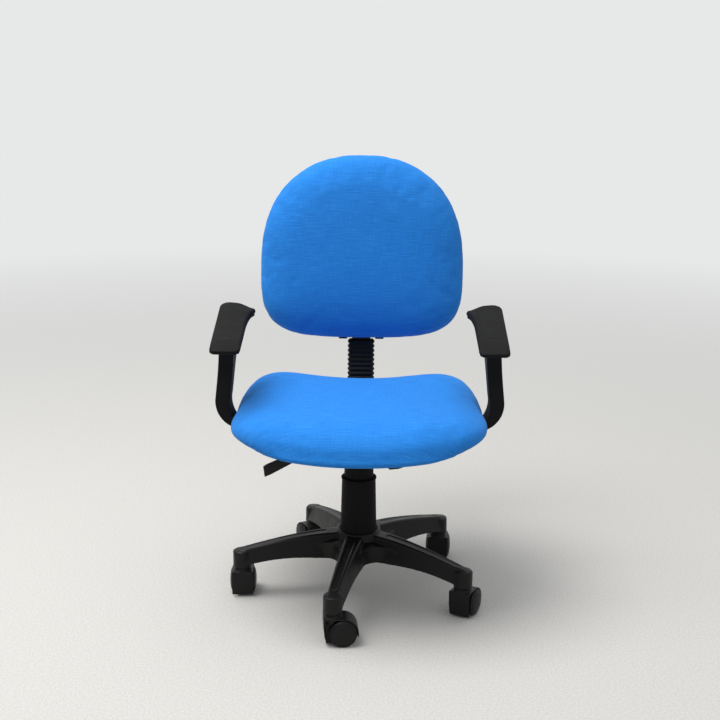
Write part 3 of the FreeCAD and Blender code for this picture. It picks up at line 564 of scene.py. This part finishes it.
def back_shape(angle):
    above = BACK_HEIGHT - BACK_WIDEST
    u, v = superellipse(angle, BACK_HALF, BACK_WIDEST, above, BACK_LOW_POWER, BACK_TOP_POWER)
    return (u, v + BACK_WIDEST - BACK_PLAN_Z)


def back_point(u, v, height, inset):
    x, z = u, v + BACK_PLAN_Z
    front = smoothly(12, 50, height)
    depth = -height
    # the foam is a little fuller over the lower back
    depth -= front * 2.5 * math.exp(-((z - 110) / 90) ** 2 - (x / 150) ** 2)
    depth += front * rumple((x, z, 9.7), 80.0, 0.9)
    return lean(x, depth, z)


def back_held(co):
    y, z = co.y / MM - BACK_FOOT.y, co.z / MM - BACK_FOOT.z
    return y - z * math.tan(BACK_LEAN) > BACK_HELD


back = cushion("back_cushion_cover", even_outline(back_shape), BACK_SECTION, back_point)
stuffed(back, back_held)
dress(back, CLOTH)
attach(back, "backrest")
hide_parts("back_cushion")


# ---------------------------------------------------------------- arms and base
PAD_SLOPE = math.tan(math.radians(11.5))
PAD_MIDDLE_X, PAD_HALF, PAD_MIDDLE_Y, PAD_Z, PAD_THICK = 243, 30, 12, 525, 9


def arm_shape(co):
    """The pad is crowned, thins and dips towards its front and droops at its inner rear corner."""
    x, y, z = abs(co.x) / MM, co.y / MM, co.z / MM
    line = PAD_Z + (y - PAD_MIDDLE_Y) * PAD_SLOPE
    # height over the pad's underside, and place across the pad from -1 (inner side) to 1
    under = z - (line - PAD_THICK)
    on_pad = smoothly(-1, 6, under)
    across = (x - PAD_MIDDLE_X) / PAD_HALF
    nose = smoothly(-66, -98, y) * smoothly(-3, 2, under)
    z += nose * (5.0 - 0.45 * under)
    z += on_pad * (2.0 * (1 - min(across * across, 1)) - 2.5 * smoothly(-62, -100, y))
    z -= smoothly(-6, -1, under) * 8.0 * smoothly(62, 118, y) * smoothly(-0.1, -1.25, across)
    # the pad's underside is cut back, and its front corners are eased
    x += 6.0 * (1 - smoothly(-1, 9, under)) * smoothly(-4, -1, under) * smoothly(-0.3, -0.85, across)
    x -= 3.5 * across * abs(across) * smoothly(-84, -97, y) * smoothly(-4, 0, under)
    # the post's inner side widens as it meets the pad
    flare = smoothly(-46, 0, under) * (1 - on_pad) * smoothly(250, 236, x)
    x -= 5.0 * flare
    return Vector((math.copysign(x * MM, co.x), co.y, z * MM))


for side in ("left", "right"):
    moulded("armrest_" + side, 0.0009, 5, 0.25, arm_shape)
moulded("star_base", 0.0010, 7, 0.22)
for number in range(1, 6):
    moulded("caster_%d_hood" % number, 0.0007, 14, 0.22)


# ---------------------------------------------------------------- bellows
BAR_Y = 15.5            # the upright bar's middle, behind the back's board


def bellows():
    """Rubber concertina: rounded crests and narrow valleys."""
    pitch, folds, rows = 9.5, 11, 8
    start = -6.0 - pitch * folds
    rings = []
    for i in range(folds * rows + 1):
        z = start + pitch * i / rows
        wave = 0.5 - 0.5 * math.cos(2 * math.pi * i / rows)
        grow = 3.0 * wave ** 0.75 - 0.2
        hx, hy, corner = 25.0 + grow, 11.5 + grow, 6.0 + grow
        ring = []
        for cx, cy, turn in ((1, 1, 0), (-1, 1, 90), (-1, -1, 180), (1, -1, 270)):
            for step in range(7):
                angle = math.radians(turn + 15 * step)
                ring.append(lean(cx * (hx - corner) + corner * math.cos(angle),
                                 BAR_Y + cy * (hy - corner) + corner * math.sin(angle), z))
        rings.append(ring)
    return from_rings("bellows_sleeve", rings, cap_start=True)


sleeve = bellows()
dress(sleeve, RUBBER)
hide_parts("bellows")
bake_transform(sleeve)

# ---------------------------------------------------------------- stage
FAR = 30                # half the floor's side, in metres
floor_mesh = bpy.data.meshes.new("floor")
floor_mesh.from_pydata([(-FAR, -FAR, 0), (FAR, -FAR, 0), (FAR, FAR, 0), (-FAR, FAR, 0)], [], [(0, 1, 2, 3)])
floor = linked("floor", floor_mesh)
pale, tree, shader = material("floor")
mottle = noise_of(tree, add(tree, "ShaderNodeTexCoord").outputs["Object"], 260.0, 2.0)
tone = ramp(tree, mottle, [(0.3, (0.43, 0.425, 0.41)), (0.7, (0.52, 0.51, 0.49))])
tree.links.new(tone, shader.inputs["Base Color"])
shader.inputs["Roughness"].default_value = 0.85
shader.inputs["Specular IOR Level"].default_value = 0.1
bumped(tree, shader, mottle, 0.2, 0.001)
# the floor fades into the world with its distance from the chair
span = add(tree, "ShaderNodeVectorMath", operation="LENGTH")
tree.links.new(add(tree, "ShaderNodeTexCoord").outputs["Object"], span.inputs[0])
away = sums(tree, "MULTIPLY", span.outputs["Value"], 0.1)
fade = ramp(tree, away, [(0.08, grey(0.0)), (0.42, grey(1.0))])
clear = add(tree, "ShaderNodeBsdfTransparent")
both = add(tree, "ShaderNodeMixShader")
tree.links.new(fade, both.inputs[0])
tree.links.new(shader.outputs[0], both.inputs[1])
tree.links.new(clear.outputs[0], both.inputs[2])
tree.links.new(both.outputs[0], tree.nodes["Material Output"].inputs[0])
dress(floor, pale)

# the world brightens overhead and on the side the sitter faces away from
world = bpy.data.worlds.new("studio")
bpy.context.scene.world = world
world.use_nodes = True
sky = world.node_tree
upward = add(sky, "ShaderNodeSeparateXYZ")
sky.links.new(add(sky, "ShaderNodeTexCoord").outputs["Generated"], upward.inputs[0])
overhead = ramp(sky, upward.outputs[2], [(0.0, grey(0.0)), (0.22, grey(0.04)), (0.9, grey(1.0))])
rearward = sums(sky, "MULTIPLY_ADD", upward.outputs[1], 0.5, 0.5)
behind = ramp(sky, rearward, [(0.5, grey(0.0)), (0.95, grey(1.0))])
walls = add(sky, "ShaderNodeMix", data_type="RGBA")
walls.inputs["A"].default_value = (0.40, 0.405, 0.41, 1)
walls.inputs["B"].default_value = (0.80, 0.81, 0.81, 1)
sky.links.new(behind, walls.inputs["Factor"])
ceiling = add(sky, "ShaderNodeMix", data_type="RGBA")
ceiling.inputs["B"].default_value = (1.02, 1.03, 1.05, 1)
sky.links.new(overhead, ceiling.inputs["Factor"])
sky.links.new(walls.outputs["Result"], ceiling.inputs["A"])
sky.links.new(ceiling.outputs["Result"], sky.nodes["Background"].inputs[0])
sky.nodes["Background"].inputs[1].default_value = 1.0
bpy.context.scene.view_settings.view_transform = "Standard"


def area(name, place, target, size, power, colour):
    """A round lamp of that size across, in metres, turned to its target."""
    data = bpy.data.lights.new(name, "AREA")
    data.shape = "DISK"
    data.size = size
    data.energy = power
    data.color = colour
    lamp = bpy.data.objects.new(name, data)
    bpy.context.scene.collection.objects.link(lamp)
    lamp.location = place
    lamp.rotation_euler = (Vector(target) - Vector(place)).to_track_quat("-Z", "Y").to_euler()


area("key", (-1.0, -0.25, 2.9), (0, 0, 0.4), 2.0, 92, (1.0, 0.99, 0.97))
area("fill", (2.2, -1.2, 1.7), (0, 0, 0.45), 1.8, 3, (0.95, 0.975, 1.0))

# ---------------------------------------------------------------- camera
camera_data = bpy.data.cameras.new("camera")
camera_data.sensor_width = 36.0
camera_data.lens = 60.3
camera_data.clip_end = 100
camera = bpy.data.objects.new("camera", camera_data)
bpy.context.scene.collection.objects.link(camera)
CAMERA_AT = (0.0191, -2.1886, 1.0347)
PITCH, YAW, ROLL = math.radians(90 - 14.54), math.radians(0.5), math.radians(0.55)
turn = Matrix.Rotation(YAW, 4, "Z") @ Matrix.Rotation(PITCH, 4, "X")
turn = turn @ Matrix.Rotation(ROLL, 4, "Z")
camera.matrix_world = Matrix.Translation(CAMERA_AT) @ turn
bpy.context.scene.camera = camera
